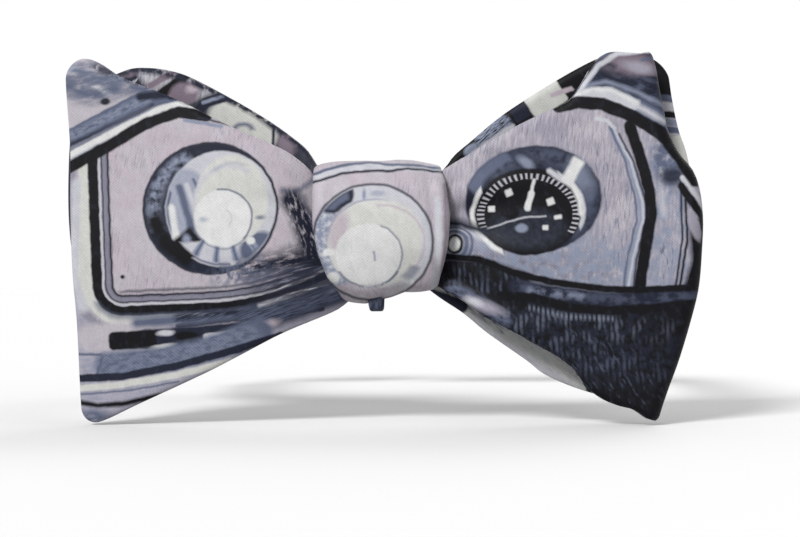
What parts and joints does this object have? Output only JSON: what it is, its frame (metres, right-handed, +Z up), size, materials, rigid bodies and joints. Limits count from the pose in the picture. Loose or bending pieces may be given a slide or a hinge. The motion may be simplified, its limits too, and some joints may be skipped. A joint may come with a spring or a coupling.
{
  "type": "bow tie",
  "caption": "Hand-tied butterfly bow tie of printed silk, with knot, folded loops and square tails, on an adjustable neck band with hook, eye and slider.",
  "frame": {"origin": "centre of the neck, at half the height of the neck band", "axes": "+Z up along the neck; the bow faces -Y and the hook, eye and slider lie at +Y"},
  "size_m": [0.1245, 0.1471, 0.073],
  "materials": {
    "printed_silk": "fine silk twill with a printed pattern",
    "interlining": "brushed wool and cotton interlining",
    "strap_silk": "fine silk twill",
    "thread": "sewing thread",
    "label": "woven satin ribbon, blank",
    "nickel": "polished nickel plate"
  },
  "bodies": {
    "bow": {"knot_wrap_face": "printed_silk", "knot_wrap_interlining": "interlining", "knot_wrap_lining": "printed_silk", "front_waist": "printed_silk", "back_waist": "printed_silk", "front_tail_face": "printed_silk", "front_tail_interlining": "interlining", "front_tail_lining": "printed_silk", "front_loop_face": "printed_silk", "front_loop_interlining": "interlining", "front_loop_lining": "printed_silk", "back_loop_face": "printed_silk", "back_loop_interlining": "interlining", "back_loop_lining": "printed_silk", "back_tail_face": "printed_silk", "back_tail_interlining": "interlining", "back_tail_lining": "printed_silk", "front_strap_face": "strap_silk", "front_strap_interlining": "interlining", "front_strap_lining": "strap_silk"},
    "band_left": {"left_strap_face": "strap_silk", "left_strap_interlining": "interlining", "left_strap_lining": "strap_silk", "left_strap_end": "strap_silk", "left_bartack": "thread", "size_label": "label"},
    "hook_body": {"hook": "nickel"},
    "band_right": {"right_strap_face": "strap_silk", "right_strap_interlining": "interlining", "right_strap_lining": "strap_silk", "right_strap_fold": "strap_silk", "strap_return": "strap_silk"},
    "eye_body": {"eye_ring": "nickel"},
    "slider_body": {"slider_frame": "nickel", "slider_bar": "nickel", "slider_loop": "strap_silk", "slider_bartack": "thread"}
  },
  "joints": [
    {"name": "band_left_open", "type": "hinge", "parent": "bow", "child": "band_left", "pos_m": [-0.0142, -0.05697, 0], "axis": [0, 0, 1], "range_deg": [0, 30]},
    {"name": "band_right_open", "type": "hinge", "parent": "bow", "child": "band_right", "pos_m": [0.0142, -0.05697, 0], "axis": [0, 0, 1], "range_deg": [-30, 0]},
    {"name": "hook_lift", "type": "hinge", "parent": "band_left", "child": "hook_body", "pos_m": [-0.026, 0.061, 0], "axis": [0, 0, 1], "range_deg": [-18, 70]},
    {"name": "eye_swing", "type": "hinge", "parent": "band_right", "child": "eye_body", "pos_m": [-0.004, 0.061, 0], "axis": [0, 0, 1], "range_deg": [0, 30]},
    {"name": "slider_travel", "type": "slide", "parent": "band_right", "child": "slider_body", "axis": [-1, 0, 0], "range_m": [0, 0.022], "deforming": ["strap_return"]}
  ]
}
